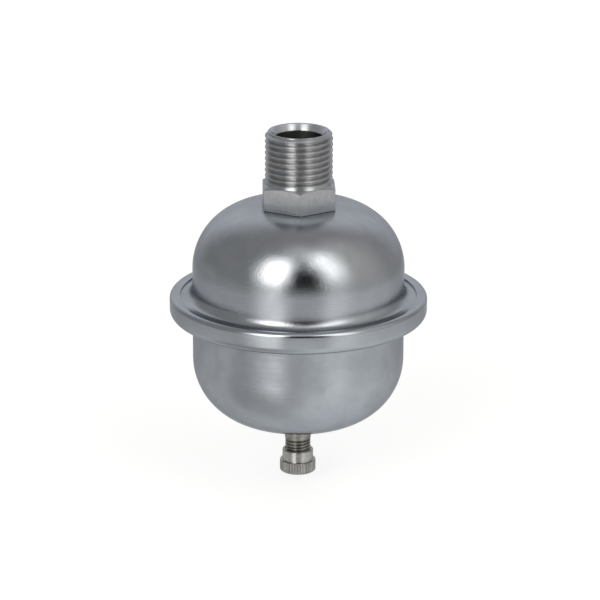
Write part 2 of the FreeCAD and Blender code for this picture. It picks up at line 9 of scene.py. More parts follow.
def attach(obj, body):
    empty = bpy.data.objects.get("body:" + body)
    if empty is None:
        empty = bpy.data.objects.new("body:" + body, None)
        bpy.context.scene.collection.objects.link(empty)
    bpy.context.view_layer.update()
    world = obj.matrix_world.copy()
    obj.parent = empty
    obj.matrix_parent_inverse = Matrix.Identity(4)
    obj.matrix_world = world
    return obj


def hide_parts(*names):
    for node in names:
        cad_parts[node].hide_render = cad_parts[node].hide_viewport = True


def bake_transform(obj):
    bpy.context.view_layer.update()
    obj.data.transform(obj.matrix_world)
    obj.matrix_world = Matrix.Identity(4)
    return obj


# Water hammer arrestor: two drawn stainless shells joined by a folded rim, a turned inlet
# fitting above, an air valve with a screw cap below and a rubber diaphragm inside.
# Sizes are in millimetres and degrees; MM turns them into Blender's metres.
# The axis is Z, with the inlet up, and heights are counted from the frame's origin.

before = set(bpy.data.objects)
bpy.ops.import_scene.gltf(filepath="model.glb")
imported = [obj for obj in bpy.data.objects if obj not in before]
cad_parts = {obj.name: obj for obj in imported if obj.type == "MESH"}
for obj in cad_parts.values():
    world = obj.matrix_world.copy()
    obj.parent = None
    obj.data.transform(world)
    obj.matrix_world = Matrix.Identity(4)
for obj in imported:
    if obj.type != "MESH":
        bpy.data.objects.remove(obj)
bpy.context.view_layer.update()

MM = 0.001
WHOLE_TURN = 2 * math.pi
SHARP = 35.0

# Cut threads: where a flank starts and ends, as a share of the pitch from a crest's middle
CREST_SHARE = 0.07
ROOT_SHARE = 0.43

# Inlet fitting
THREAD_RADIUS = 10.4775
THREAD_LENGTH = 14.3
THREAD_PITCH = 1.814
THREAD_DEPTH = 1.162
THREAD_CREST = 12.93
THREAD_FOOT = -1.1
TIP_CHAMFER = 0.95
MOUTH_RADIUS = 8.8
MOUTH_DEPTH = 1.85
BORE_RADIUS = 7.45
BORE_DEPTH = 21.3
PORT_RADIUS = 4.0
DRILL_SLOPE = 0.6
RUNOUT_RADIUS = 10.8
HEX_TOP = -1.8
HEX_BOTTOM = -9.38
HEX_FLATS = 22.0
HEX_TURN = 2.6
HEX_LAND = 10.8
HEX_CORNER = 0.25
HEX_EDGE = 0.1
CHAMFER_SLOPE = 0.577
WELD_RADIUS = 10.4
SPIGOT_RADIUS = 8.9
SWAGE_RADIUS = 10.3
SWAGE_HEIGHT = 1.0
FITTING_SIDES = 240
THREAD_RINGS = 160
CHAMFER_RINGS = 10

# Shells
SEAT = -9.45
SHEET = 0.8
SHELL_RADIUS = 33.0
UPPER_DEPTH = 29.1
UPPER_KNUCKLE = 20.15
UPPER_FOOT = 2.0
FOOT_ENTRY = 3.8
FOOT_ROUND = 2.2
FOOT_TURN = 30.0
SPIGOT_HOLE = 9.0
FLANGE_RADIUS = 38.55
RIM_TOP = -37.75
RIM_BOTTOM = -44.95
RIM_RADIUS = 40.15
UPPER_FOLD = 1.5
LOWER_FOLD = 2.5
LIP_RADIUS = 36.8
LIP_ROUND = 0.2
LIP_DROP = 0.3
LOWER_FOOT = 1.2
LOWER_DEPTH = 35.75
LOWER_KNUCKLE = 20.7
LOWER_DISH = 22.7
VALVE_SEAT = 7.4
STEM_HOLE = 4.2
CROWN = RIM_BOTTOM - LOWER_DEPTH
SHELL_SIDES = 256

# Diaphragm
RUBBER = 1.2
RUBBER_RADIUS = 31.9
RUBBER_CROWN = -11.85
RUBBER_SHOULDER = 17.0
BEAD_RADIUS = 39.05
BEAD_HALF = 2.5
BEAD_ROUND = 1.5
RIM_MIDDLE = (RIM_TOP + RIM_BOTTOM) / 2
RUBBER_SIDES = 128

# Air valve: MOUTH is the height of the stem's open end
MOUTH = -94.8
STEM_RADIUS = 4.1
STEM_THREAD = 4.0
STEM_PITCH = 1.0
STEM_DEPTH = 0.61
STEM_FOOT = CROWN - 5.0
STEM_TIP = 0.4
STEM_SIDES = 128
STEM_RINGS = 190
CORE_BORE = 2.65
CORE_FLARE = 0.35
CORE_END = MOUTH + 6.6
SEAT_RADIUS = 2.35
SEAT_END = MOUTH + 8.6
STEM_BORE = 1.95
HEAD_RADIUS = 6.6
HEAD_FOOT = MOUTH + 15.9
HEAD_TOP = MOUTH + 17.9
SPRING_START = MOUTH + 8.2
SPRING_END = MOUTH + 12.2
SPRING_RADIUS = 0.88
SPRING_WIRE = 0.11
SPRING_TURNS = 6
SPRING_STEPS = 24
WIRE_SIDES = 10
CAP_BOTTOM = -96.85
CAP_TOP = -89.6
CAP_RADIUS = 4.85
CAP_FLANGE = 5.65
CAP_FLANGE_TOP = -93.2
CAP_FLOOR = -95.55
CAP_BORE = 4.08
CAP_EDGE = 0.35
KNURL_COUNT = 36
KNURL_DEPTH = 0.22
KNURL_WIDTH = 0.62
KNURL_STEPS = 8

# Marks that the tools leave
RUBBED_FROM = -33.0
RUBBED_TO = -38.0
PRESSED_INSIDE = 21.0
PRESSED_OUTSIDE = 30.0
NICK_PITCH = 0.58
NICK_FOOT = HEX_BOTTOM + 0.3
NICK_TOP = HEX_BOTTOM + 0.8
NICK_END = HEX_BOTTOM + 1.1
NICK_HALF = 0.12
NICK_ROOT = 0.02

# Studio lights in degrees, round from the camera to the right and up from level. The left,
# right, low and high side are each a pair: where the light starts, and where it is full.
OVERHEAD_GLOW = ((-34, -18), (44, 20), (44, 58), (88, 70))
OVERHEAD_LEVEL = 0.74
SIDE_GLOW = ((40, 62), (124, 80), (-12, 8), (84, 62))
SIDE_LEVEL = 0.64
LEFT_SOFTBOX = ((-55, -27), (-7, -15), (-8, 28), (60, 34))
LEFT_LEVEL = 4.9
RIGHT_SOFTBOX = ((12, 28), (64, 42), (-14, 35), (71, 49))
RIGHT_LEVEL = 2.5
LAMP_WARMTH = (1.0, 0.97, 0.92)
DARK_LENS = ((-21, -9), (35, 22), (-7, 5), (46, 25))
# The paper hangs behind the object on both sides, and ends below the ceiling
WHITE_PAPER = ((120, 160), (68, 30))

# The floor lies below the reach of the cap when it is unscrewed. A spot on it has a middle,
# two distances between which it fades, and its levels inside and outside them.
FLOOR = -101.0
FLOOR_HALF = 4000.0
SEEN_LEVEL = 0.78
# Painted light in the floor's mirrored glow: a pool of light, and a painted shade that dims it
PAINTED_POOL_MIDDLE = (34.0, -76.0)
PAINTED_POOL_EDGE = (40.0, 520.0)
PAINTED_POOL_LEVELS = (0.6, 0.12)
PAINTED_POOL_NARROW = 1.3
PAINTED_SHADE_MIDDLE = (-70.0, -90.0)
PAINTED_SHADE_EDGE = (40.0, 100.0)
PAINTED_SHADE_LEVELS = (0.35, 1.0)

# Camera
CAMERA_TARGET = -40.35
CAMERA_DISTANCE = 1000.0
CAMERA_ELEVATION = 18.5
CAMERA_ROLL = 0.22
FOCAL_PIXELS = 3205.0
FRAME_PIXELS = 600.0
AXIS_PIXEL = 298.365
SENSOR = 36.0


# Small tools

def linear(code):
    """An sRGB hex colour as Blender's linear colour."""
    channels = [int(code[k:k + 2], 16) / 255 for k in (1, 3, 5)]
    return [c / 12.92 if c <= 0.04045 else ((c + 0.055) / 1.055) ** 2.4 for c in channels] + [1.0]


def node(tree, kind, inputs=None, **settings):
    """Adds a node with its settings; an input is a number, a colour or another node's socket."""
    made = tree.nodes.new(kind)
    for key, setting in settings.items():
        setattr(made, key, setting)
    for key, entry in (inputs or {}).items():
        if isinstance(entry, bpy.types.NodeSocket):
            tree.links.new(entry, made.inputs[key])
        else:
            made.inputs[key].default_value = entry
    return made


def towards(azimuth, elevation):
    """The direction at an azimuth from the camera's side, to the right, and an elevation."""
    around = math.radians(azimuth)
    up = math.radians(elevation)
    level = math.cos(up)
    return Vector((math.sin(around) * level, -math.cos(around) * level, math.sin(up)))


# Turned forms

def even_angles(count):
    return np.arange(count) * WHOLE_TURN / count


def arc(centre, radius, start, end, steps):
    """Points of an arc in the (radius, height) plane, angles in degrees from outwards."""
    angles = np.radians(np.linspace(start, end, steps + 1))
    return [(centre[0] + radius * math.cos(a), centre[1] + radius * math.sin(a)) for a in angles]


def softened(corners, rounding):
    """An open line whose inner corners are rounded, as a deburred edge is."""
    steps = 3
    line = [corners[0]]
    for before, corner, after in zip(corners, corners[1:], corners[2:]):
        back = Vector(before) - Vector(corner)
        on = Vector(after) - Vector(corner)
        reach = min(rounding, back.length * 0.4, on.length * 0.4)
        start = Vector(corner) + back.normalized() * reach
        end = Vector(corner) + on.normalized() * reach
        for k in range(steps + 1):
            t = k / steps
            bend = start * (1 - t) ** 2 + Vector(corner) * 2 * t * (1 - t) + end * t ** 2
            line.append((bend.x, bend.y))
    return line + [corners[-1]]


def turned(name, rows, angles, wrap=True):
    """A closed surface through rows of (radius, height). Each may vary with the angle.

    With wrap the last row joins the first; without it both end on the axis."""
    count = len(angles)
    points = []
    rings = []
    for radius, height in rows:
        radius = np.broadcast_to(np.asarray(radius, float), count)
        height = np.broadcast_to(np.asarray(height, float), count)
        start = len(points)
        if radius.max() < 1e-6:
            points.append((0.0, 0.0, height[0] * MM))
            rings.append([start] * count)
        else:
            points += list(zip(radius * np.cos(angles) * MM, radius * np.sin(angles) * MM,
                               height * MM))
            rings.append(list(range(start, start + count)))
    faces = []
    for low, high in zip(rings, rings[1:] + rings[:1] if wrap else rings[1:]):
        for k in range(count):
            after = (k + 1) % count
            face = list(dict.fromkeys((low[k], low[after], high[after], high[k])))
            if len(face) > 2:
                faces.append(face)
    return solid(name, points, faces, crease=SHARP)


def solid(name, points, faces, crease):
    """A piece from its points and faces, with its normals turned outwards."""
    mesh = bpy.data.meshes.new(name)
    mesh.from_pydata(points, [], faces)
    work = bmesh.new()
    work.from_mesh(mesh)
    bmesh.ops.recalc_face_normals(work, faces=work.faces)
    work.to_mesh(mesh)
    work.free()
    piece = bpy.data.objects.new(name, mesh)
    bpy.context.scene.collection.objects.link(piece)
    shade(mesh, crease)
    return piece


def shade(mesh, crease):
    """Smooth shading, with edges above the crease angle kept sharp."""
    mesh.shade_smooth()
    mesh.set_sharp_from_angle(angle=math.radians(crease))


# Geometry trees: what repeats round or along the axis

def new_tree(name, sizes):
    """A geometry tree with a named input for each size, and a material."""
    tree = bpy.data.node_groups.new(name, "GeometryNodeTree")
    tree.interface.new_socket("Geometry", in_out="INPUT", socket_type="NodeSocketGeometry")
    for size in sizes:
        tree.interface.new_socket(size, in_out="INPUT", socket_type="NodeSocketFloat")
    tree.interface.new_socket("Material", in_out="INPUT", socket_type="NodeSocketMaterial")
    tree.interface.new_socket("Geometry", in_out="OUTPUT", socket_type="NodeSocketGeometry")
    return tree


def polar(tree):
    """The x, y, height, angle and radius of each point."""
    place = node(tree, "GeometryNodeInputPosition")
    axes = node(tree, "ShaderNodeSeparateXYZ", {0: place.outputs[0]})
    x, y, z = axes.outputs
    turn = node(tree, "ShaderNodeMath", {0: y, 1: x}, operation="ARCTAN2").outputs[0]
    flat = node(tree, "ShaderNodeCombineXYZ", {0: x, 1: y})
    radius = node(tree, "ShaderNodeVectorMath", {0: flat.outputs[0]}, operation="LENGTH")
    return x, y, z, turn, radius.outputs["Value"]


def cut_to(tree, source, cut, share):
    """Moves outer points inwards to the cut surface, sets the material and ends the tree."""
    x, y, z, _, radius = polar(tree)
    limit = node(tree, "ShaderNodeMath", {0: source.outputs["Outer"], 1: cut},
                 operation="SUBTRACT")
    target = node(tree, "ShaderNodeMath", {0: radius, 1: limit.outputs[0]}, operation="MINIMUM")
    scale = node(tree, "ShaderNodeMath", {0: target.outputs[0], 1: radius}, operation="DIVIDE")
    moved_x = node(tree, "ShaderNodeMath", {0: x, 1: scale.outputs[0]}, operation="MULTIPLY")
    moved_y = node(tree, "ShaderNodeMath", {0: y, 1: scale.outputs[0]}, operation="MULTIPLY")
    moved = node(tree, "ShaderNodeCombineXYZ", {
        0: moved_x.outputs[0], 1: moved_y.outputs[0], 2: z})
    outside = node(tree, "ShaderNodeMath", {0: radius, 1: source.outputs["Inner"]},
                   operation="GREATER_THAN")
    inside_range = node(tree, "ShaderNodeMath", {0: share, 1: 1e-4}, operation="GREATER_THAN")
    chosen = node(tree, "ShaderNodeMath", {0: outside.outputs[0], 1: inside_range.outputs[0]},
                  operation="MULTIPLY")
    shifted = node(tree, "GeometryNodeSetPosition", {
        "Geometry": source.outputs["Geometry"], "Selection": chosen.outputs[0],
        "Position": moved.outputs[0]})
    real = node(tree, "GeometryNodeRealizeInstances", {"Geometry": shifted.outputs[0]})
    finish = node(tree, "GeometryNodeSetMaterial", {
        "Geometry": real.outputs[0], "Material": source.outputs["Material"]})
    node(tree, "NodeGroupOutput", {"Geometry": finish.outputs[0]})


def thread_tree():
    """A right-hand thread cut into a plain cylinder, fading out at its foot."""
    tree = new_tree("cut_thread", ("Outer", "Inner", "Pitch", "Depth", "Crest", "Foot", "Full"))
    source = node(tree, "NodeGroupInput")
    _, _, z, turn, _ = polar(tree)
    share = node(tree, "ShaderNodeMath", {0: turn, 1: WHOLE_TURN}, operation="DIVIDE")
    above = node(tree, "ShaderNodeMath", {0: z, 1: source.outputs["Crest"]}, operation="SUBTRACT")
    climb = node(tree, "ShaderNodeMath", {0: above.outputs[0], 1: source.outputs["Pitch"]},
                 operation="DIVIDE")
    phase = node(tree, "ShaderNodeMath", {0: climb.outputs[0], 1: share.outputs[0]},
                 operation="SUBTRACT")
    off_crest = node(tree, "ShaderNodeMath", {0: phase.outputs[0], 1: 0.5}, operation="PINGPONG")
    flank = node(tree, "ShaderNodeMapRange", {
        "Value": off_crest.outputs[0], "From Min": CREST_SHARE, "From Max": ROOT_SHARE},
        interpolation_type="SMOOTHSTEP")
    runout = node(tree, "ShaderNodeMapRange", {
        "Value": z, "From Min": source.outputs["Foot"], "From Max": source.outputs["Full"]})
    deep = node(tree, "ShaderNodeMath", {0: flank.outputs[0], 1: source.outputs["Depth"]},
                operation="MULTIPLY")
    cut = node(tree, "ShaderNodeMath", {0: deep.outputs[0], 1: runout.outputs[0]},
               operation="MULTIPLY")
    cut_to(tree, source, cut.outputs[0], runout.outputs[0])
    return tree


def knurl_tree():
    """Straight V grooves round a flange."""
    tree = new_tree("press_knurl", ("Outer", "Inner", "Count", "Depth", "Width", "Low", "High"))
    source = node(tree, "NodeGroupInput")
    _, _, z, turn, _ = polar(tree)
    half = node(tree, "ShaderNodeMath", {0: math.pi, 1: source.outputs["Count"]},
                operation="DIVIDE")
    aside = node(tree, "ShaderNodeMath", {0: turn, 1: half.outputs[0]}, operation="PINGPONG")
    along = node(tree, "ShaderNodeMath", {0: aside.outputs[0], 1: source.outputs["Outer"]},
                 operation="MULTIPLY")
    half_width = node(tree, "ShaderNodeMath", {0: source.outputs["Width"], 1: 0.5},
                      operation="MULTIPLY")
    groove = node(tree, "ShaderNodeMapRange", {
        "Value": along.outputs[0], "From Min": 0.0, "From Max": half_width.outputs[0],
        "To Min": source.outputs["Depth"], "To Max": 0.0})
    above = node(tree, "ShaderNodeMath", {0: z, 1: source.outputs["Low"]},
                 operation="GREATER_THAN")
    below = node(tree, "ShaderNodeMath", {0: z, 1: source.outputs["High"]}, operation="LESS_THAN")
    between = node(tree, "ShaderNodeMath", {0: above.outputs[0], 1: below.outputs[0]},
                   operation="MULTIPLY")
    cut_to(tree, source, groove.outputs[0], between.outputs[0])
    return tree


def shaped(piece, tree, values, crease):
    """Runs a tree on a piece and keeps its result as the piece's plain mesh."""
    modifier = piece.modifiers.new(tree.name, "NODES")
    modifier.node_group = tree
    for item in tree.interface.items_tree:
        if item.item_type == "SOCKET" and item.in_out == "INPUT" and item.name in values:
            modifier[item.identifier] = values[item.name]
    bpy.context.view_layer.update()
    evaluated = piece.evaluated_get(bpy.context.evaluated_depsgraph_get())
    mesh = bpy.data.meshes.new_from_object(evaluated)
    piece.modifiers.clear()
    piece.data = mesh
    mesh.name = piece.name
    shade(mesh, crease)
    return piece


# The pieces

def hexagon(angles, apothem):
    """The radius of a hexagon with slightly rounded corners at each angle."""
    first = math.radians(HEX_TURN - 90)
    sixth = WHOLE_TURN / 6
    from_corner = (angles - first + sixth / 2) % sixth - sixth / 2
    from_flat = sixth / 2 - np.abs(from_corner)
    flat = apothem / np.cos(from_flat)
    centre = (apothem - HEX_CORNER) / math.cos(sixth / 2)
    sideways = centre * np.sin(from_corner)
    inside = np.abs(sideways) < HEX_CORNER
    depth = np.where(inside, HEX_CORNER ** 2 - sideways ** 2, 0)
    rounded = centre * np.cos(from_corner) + np.sqrt(depth)
    return np.where(inside, np.minimum(flat, rounded), flat)


def make_inlet_fitting(material, tree):
    """Turned from hexagon bar, with extra points round each of the bar's corners."""
    angles = set(np.round(even_angles(FITTING_SIDES), 6))
    first = math.radians(HEX_TURN - 90)
    for corner in range(6):
        for step in (-1.2, -0.8, -0.4, 0.0, 0.4, 0.8, 1.2):
            near_corner = first + corner * WHOLE_TURN / 6 + math.radians(step)
            angles.add(round(near_corner % WHOLE_TURN, 6))
    angles = np.array(sorted(angles))
    side = hexagon(angles, HEX_FLATS / 2)
    foot = hexagon(angles, HEX_FLATS / 2 - HEX_EDGE)
    shoulder = HEX_TOP - (side - HEX_LAND) * CHAMFER_SLOPE
    port_end = SEAT - SHEET - SWAGE_HEIGHT
    port_start = THREAD_LENGTH - BORE_DEPTH - (BORE_RADIUS - PORT_RADIUS) * DRILL_SLOPE
    rows = softened([
        (PORT_RADIUS, port_start),
        (PORT_RADIUS, port_end),
        (SWAGE_RADIUS - SWAGE_HEIGHT / 2, port_end),
        (SWAGE_RADIUS, port_end + SWAGE_HEIGHT / 2),
        (SWAGE_RADIUS, SEAT - SHEET),
        (SPIGOT_RADIUS, SEAT - SHEET),
        (SPIGOT_RADIUS, SEAT),
        (WELD_RADIUS, SEAT),
        (WELD_RADIUS, HEX_BOTTOM),
    ], rounding=0.08)
    rows += [
        (foot, HEX_BOTTOM),
        (foot + (side - foot) * 0.7, HEX_BOTTOM + HEX_EDGE * 0.3),
        (side, HEX_BOTTOM + HEX_EDGE),
        (side, (HEX_BOTTOM + HEX_TOP) / 2),
        (side, shoulder - HEX_EDGE),
        (side - HEX_EDGE * 0.25, shoulder - HEX_EDGE * 0.15),
        (side - HEX_EDGE, shoulder + HEX_EDGE * CHAMFER_SLOPE),
    ]
    rows += [(RUNOUT_RADIUS, HEX_TOP), (THREAD_RADIUS + 0.08, THREAD_FOOT - 0.15)]
    reach = THREAD_LENGTH - TIP_CHAMFER - THREAD_FOOT
    rows += [(THREAD_RADIUS, THREAD_FOOT + reach * k / THREAD_RINGS)
             for k in range(THREAD_RINGS + 1)]
    for k in range(1, CHAMFER_RINGS + 1):
        share = TIP_CHAMFER * k / CHAMFER_RINGS
        rows.append((THREAD_RADIUS - share, THREAD_LENGTH - TIP_CHAMFER + share))
    rows += softened([
        (THREAD_RADIUS - TIP_CHAMFER - 0.05, THREAD_LENGTH),
        (MOUTH_RADIUS, THREAD_LENGTH),
        (BORE_RADIUS, THREAD_LENGTH - MOUTH_DEPTH),
        (BORE_RADIUS, THREAD_LENGTH - BORE_DEPTH),
        (PORT_RADIUS + 0.05, port_start + 0.05 * DRILL_SLOPE),
    ], rounding=0.1)
    piece = turned("inlet_fitting_turned", rows, angles)
    shaped(piece, tree, {
        "Outer": THREAD_RADIUS * MM, "Inner": (THREAD_RADIUS - THREAD_DEPTH + 0.05) * MM,
        "Pitch": THREAD_PITCH * MM, "Depth": THREAD_DEPTH * MM,
        "Crest": (THREAD_CREST - THREAD_PITCH / 2) * MM, "Foot": THREAD_FOOT * MM,
        "Full": (THREAD_FOOT + 0.8) * MM,
        "Material": material}, crease=SHARP)
    return piece


def foot_blend(flange):
    """The wall flows into the flange: a wide entry, then a tighter turn."""
    turn = math.radians(FOOT_TURN)
    start = flange + FOOT_ROUND * (1 - math.sin(turn)) + FOOT_ENTRY * math.sin(turn)
    entry = (SHELL_RADIUS + FOOT_ENTRY, start)
    join = FOOT_ENTRY - FOOT_ROUND
    tight = (entry[0] - join * math.cos(turn), entry[1] - join * math.sin(turn))
    return (arc(entry, FOOT_ENTRY, 180, 180 + FOOT_TURN, 10)
            + arc(tight, FOOT_ROUND, 180 + FOOT_TURN, 270, 12)[1:])


def make_upper_shell():
    """Drawn dome with a flat crown and a flange."""
    knuckle = (SHELL_RADIUS - UPPER_KNUCKLE, SEAT - UPPER_KNUCKLE)
    flange = SEAT - UPPER_DEPTH
    foot = (SHELL_RADIUS + UPPER_FOOT, flange + UPPER_FOOT)
    rows = [(SPIGOT_HOLE, SEAT - 0.1), (SPIGOT_HOLE + 0.1, SEAT)]
    rows += arc(knuckle, UPPER_KNUCKLE, 90, 0, 48)
    rows += foot_blend(flange)
    rows += [(FLANGE_RADIUS, flange), (FLANGE_RADIUS, flange - SHEET)]
    rows += arc(foot, UPPER_FOOT + SHEET, 270, 180, 12)
    rows += arc(knuckle, UPPER_KNUCKLE - SHEET, 0, 90, 32)
    rows += [(SPIGOT_HOLE, SEAT - SHEET)]
    return turned("upper_shell_drawn", rows, even_angles(SHELL_SIDES))


def make_lower_shell():
    """Drawn dome whose flange is folded up and over the upper one."""
    crown_radius = (LOWER_DISH ** 2 + SHELL_RADIUS ** 2 - 2 * SHELL_RADIUS * LOWER_KNUCKLE) / (
        2 * (LOWER_DISH - LOWER_KNUCKLE))
    crown_height = math.sqrt(crown_radius ** 2 - VALVE_SEAT ** 2)
    sine = (SHELL_RADIUS - LOWER_KNUCKLE) / (crown_radius - LOWER_KNUCKLE)
    join = math.degrees(math.asin(sine)) - 90
    seat = math.degrees(math.asin(VALVE_SEAT / crown_radius)) - 90
    inner_crown = crown_radius - SHEET
    inner_seat = math.degrees(math.asin((crown_height - SHEET) / inner_crown))
    centre = (0.0, CROWN + crown_height)
    reach = (crown_radius - LOWER_KNUCKLE) * math.sqrt(1 - sine ** 2)
    knuckle = (SHELL_RADIUS - LOWER_KNUCKLE, centre[1] - reach)
    hollow = (SHELL_RADIUS + LOWER_FOOT, RIM_BOTTOM - LOWER_FOOT)
    low_fold = (RIM_RADIUS - LOWER_FOLD, RIM_BOTTOM + LOWER_FOLD)
    high_fold = (RIM_RADIUS - UPPER_FOLD, RIM_TOP - UPPER_FOLD)
    rows = [(STEM_HOLE, CROWN), (VALVE_SEAT - 0.3, CROWN)]
    rows += arc(centre, crown_radius, seat, join, 14)
    rows += arc(knuckle, LOWER_KNUCKLE, join, 0, 40)[1:]
    rows += [(SHELL_RADIUS, (knuckle[1] + hollow[1]) / 2)]
    rows += arc(hollow, LOWER_FOOT, 180, 90, 8)
    rows += arc(low_fold, LOWER_FOLD, -90, 0, 14)
    rows += arc(high_fold, UPPER_FOLD, 0, 90, 14)
    lip_top = RIM_TOP - LIP_DROP
    rows += arc((LIP_RADIUS + LIP_ROUND, lip_top - LIP_ROUND), LIP_ROUND, 90, 180, 5)
    rows += [(LIP_RADIUS, RIM_TOP - SHEET)]
    rows += arc(high_fold, UPPER_FOLD - SHEET, 90, 0, 8)
    rows += arc(low_fold, LOWER_FOLD - SHEET, 0, -90, 8)
    rows += arc(hollow, LOWER_FOOT + SHEET, 90, 180, 8)
    rows += arc(knuckle, LOWER_KNUCKLE - SHEET, 0, join, 24)
    rows += arc(centre, inner_crown, join, -inner_seat, 10)[1:]
    rows += [(STEM_HOLE, CROWN + SHEET)]
    return turned("lower_shell_drawn", rows, even_angles(SHELL_SIDES))


def make_diaphragm():
    """Moulded rubber dome with a bead clamped in the rim."""
    bead_top = BEAD_HALF - SHEET
    foot = (SHELL_RADIUS + UPPER_FOOT, SEAT - UPPER_DEPTH + UPPER_FOOT)
    hollow = foot[0] - RUBBER_RADIUS
    flat = RUBBER_RADIUS - RUBBER_SHOULDER
    shoulder = (flat, RUBBER_CROWN - RUBBER_SHOULDER)
    wall = [(RUBBER_RADIUS, shoulder[1] + (foot[1] - shoulder[1]) * k / 12) for k in range(1, 12)]
    crown = [(flat * k / 8, RUBBER_CROWN) for k in range(9)]
    rows = crown[:-1] + arc(shoulder, RUBBER_SHOULDER, 90, 0, 24) + wall
    rows += arc(foot, hollow, 180, 270, 8)
    bead_centre = BEAD_RADIUS - BEAD_ROUND
    rows += arc((bead_centre, RIM_MIDDLE + bead_top - BEAD_ROUND), BEAD_ROUND, 90, 0, 6)
    rows += arc((bead_centre, RIM_MIDDLE - BEAD_HALF + BEAD_ROUND), BEAD_ROUND, 0, -90, 6)
    rows += [(foot[0], RIM_MIDDLE - BEAD_HALF)]
    rows += arc(foot, hollow + RUBBER, 270, 180, 8)
    rows += [(radius - RUBBER, height) for radius, height in reversed(wall)]
    rows += arc(shoulder, RUBBER_SHOULDER - RUBBER, 0, 90, 24)
    rows += [(radius, height - RUBBER) for radius, height in reversed(crown[:-1])]
    return turned("diaphragm_moulded", rows, even_angles(RUBBER_SIDES), wrap=False)


def make_valve_stem(material, tree):
    """Brass stem: head inside, collar and cap thread outside, bored for the core."""
    thread_start = STEM_FOOT - 0.1
    length = STEM_FOOT - MOUTH - STEM_TIP - 0.1
    rows = softened([
        (STEM_BORE, SEAT_END),
        (STEM_BORE, HEAD_TOP),
        (HEAD_RADIUS, HEAD_TOP),
        (HEAD_RADIUS, HEAD_FOOT),
        (STEM_RADIUS, HEAD_FOOT),
        (STEM_RADIUS, STEM_FOOT),
        (STEM_THREAD, thread_start),
    ], rounding=0.15)
    rows += [(STEM_THREAD, thread_start - length * k / STEM_RINGS)
             for k in range(1, STEM_RINGS + 1)]
    rows += [(STEM_THREAD - STEM_TIP * k / 6, MOUTH + STEM_TIP * (1 - k / 6)) for k in range(1, 7)]
    rows += softened([
        (STEM_THREAD - STEM_TIP - 0.02, MOUTH),
        (CORE_BORE + CORE_FLARE, MOUTH),
        (CORE_BORE, MOUTH + CORE_FLARE),
        (CORE_BORE, CORE_END),
        (SEAT_RADIUS, CORE_END),
        (STEM_BORE + 0.02, SEAT_END - 0.1),
    ], rounding=0.05)
    piece = turned("valve_stem_threaded", rows, even_angles(STEM_SIDES))
    shaped(piece, tree, {
        "Outer": STEM_THREAD * MM, "Inner": (STEM_THREAD - STEM_DEPTH + 0.02) * MM,
        "Pitch": STEM_PITCH * MM, "Depth": STEM_DEPTH * MM, "Crest": (STEM_FOOT - 0.9) * MM,
        "Foot": thread_start * MM, "Full": (STEM_FOOT - 0.8) * MM,
        "Material": material}, crease=SHARP)
    return piece


def make_valve_cap(material, tree):
    """Turned cap: plain at its open end, straight knurl at its closed end."""
    flange_foot = CAP_BOTTOM + CAP_EDGE
    flange_height = CAP_FLANGE_TOP - CAP_BOTTOM - 1.5 * CAP_EDGE
    rows = [
        (0.0, CAP_BOTTOM),
        (CAP_FLANGE - CAP_EDGE - 0.6, CAP_BOTTOM),
        (CAP_FLANGE - CAP_EDGE, CAP_BOTTOM),
        (CAP_FLANGE - CAP_EDGE / 3, CAP_BOTTOM + CAP_EDGE / 2),
    ]
    rows += [(CAP_FLANGE, flange_foot + flange_height * k / 4) for k in range(5)]
    rows += [(CAP_FLANGE - CAP_EDGE / 2, CAP_FLANGE_TOP)]
    rows += softened([
        (CAP_RADIUS + 0.25, CAP_FLANGE_TOP),
        (CAP_RADIUS, CAP_FLANGE_TOP + 0.04),
        (CAP_RADIUS, CAP_TOP - CAP_EDGE),
        (CAP_RADIUS - CAP_EDGE, CAP_TOP),
        (CAP_BORE, CAP_TOP),
        (CAP_BORE, CAP_FLOOR),
        (0.5, CAP_FLOOR),
    ], rounding=0.08)
    rows += [(0.0, CAP_FLOOR)]
    piece = turned("valve_cap_knurled", rows, even_angles(KNURL_COUNT * KNURL_STEPS), wrap=False)
    shaped(piece, tree, {
        "Outer": CAP_FLANGE * MM, "Inner": (CAP_RADIUS + 0.3) * MM, "Count": float(KNURL_COUNT),
        "Depth": KNURL_DEPTH * MM, "Width": KNURL_WIDTH * MM, "Low": (CAP_BOTTOM - 0.1) * MM,
        "High": (CAP_FLANGE_TOP + 0.01) * MM, "Material": material}, crease=30.0)
    return piece


def make_core_spring():
    """Coil spring between the pin's collar and the floor of the core's barrel."""
    steps = SPRING_STEPS * SPRING_TURNS
    section = even_angles(WIRE_SIDES)
    climb = SPRING_END - SPRING_START - 2 * SPRING_WIRE
    points = []
    faces = []
    for k in range(steps + 1):
        turn = SPRING_TURNS * WHOLE_TURN * k / steps
        middle = SPRING_START + SPRING_WIRE + climb * k / steps
        for angle in section:
            radius = SPRING_RADIUS + SPRING_WIRE * math.cos(angle)
            points.append((radius * math.cos(turn) * MM, radius * math.sin(turn) * MM,
                           (middle + SPRING_WIRE * math.sin(angle)) * MM))
    count = len(section)
    for k in range(steps):
        for j in range(count):
            low = k * count
            after = (j + 1) % count
            faces.append((low + j, low + after, low + count + after, low + count + j))
    last = steps * count
    faces += [tuple(range(count)), tuple(range(last, last + count))]
    return solid("core_spring_coiled", points, faces, crease=50.0)


# Materials

# Grain, turning rings and die lines are finer on the real metal than the render can show,
# so each is drawn as coarse as it needs to show.

def new_material(name):
    """A material with its tree and the place on the piece, in metres."""
    material = bpy.data.materials.new(name)
    material.use_nodes = True
    tree = material.node_tree
    tree.nodes.clear()
    return material, tree, node(tree, "ShaderNodeTexCoord").outputs["Object"]


